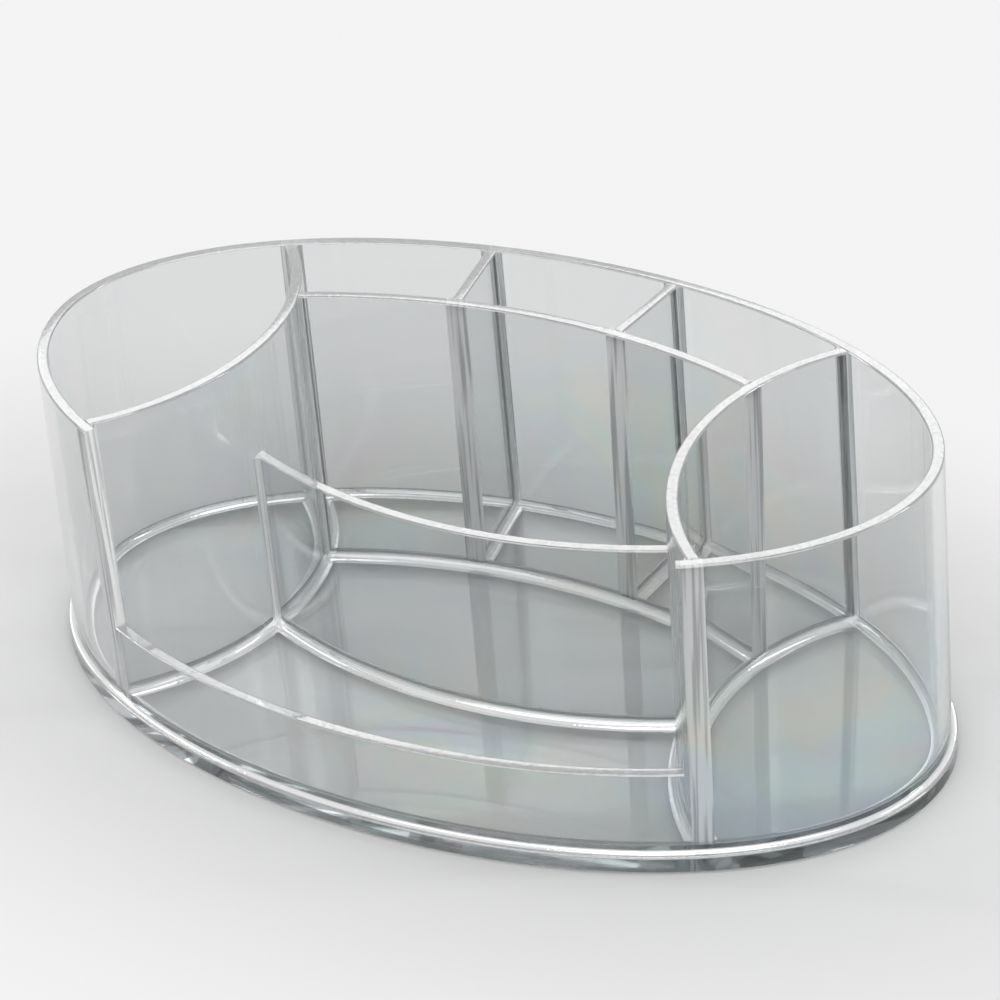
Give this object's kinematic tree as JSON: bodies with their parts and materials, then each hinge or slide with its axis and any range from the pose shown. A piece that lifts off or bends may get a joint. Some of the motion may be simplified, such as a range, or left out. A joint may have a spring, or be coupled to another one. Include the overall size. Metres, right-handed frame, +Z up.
{
  "type": "makeup organizer",
  "caption": "Oval clear acrylic tray for cosmetics: curved upright walls on a thick base plate form end pockets, a rear row, a middle bay and a low front bay.",
  "frame": {"origin": "middle of the base plate's underside", "axes": "+X along the oval, +Z up, the low front faces -Y"},
  "size_m": [0.2492, 0.1442, 0.087],
  "materials": {
    "clear_acrylic": "clear, polished"
  },
  "bodies": {
    "root": {"base_plate": "clear_acrylic", "outer_wall": "clear_acrylic", "front_wall": "clear_acrylic", "left_pocket_wall": "clear_acrylic", "right_pocket_wall": "clear_acrylic", "rear_pocket_wall": "clear_acrylic", "middle_wall": "clear_acrylic", "left_rear_divider": "clear_acrylic", "right_rear_divider": "clear_acrylic"}
  },
  "joints": []
}
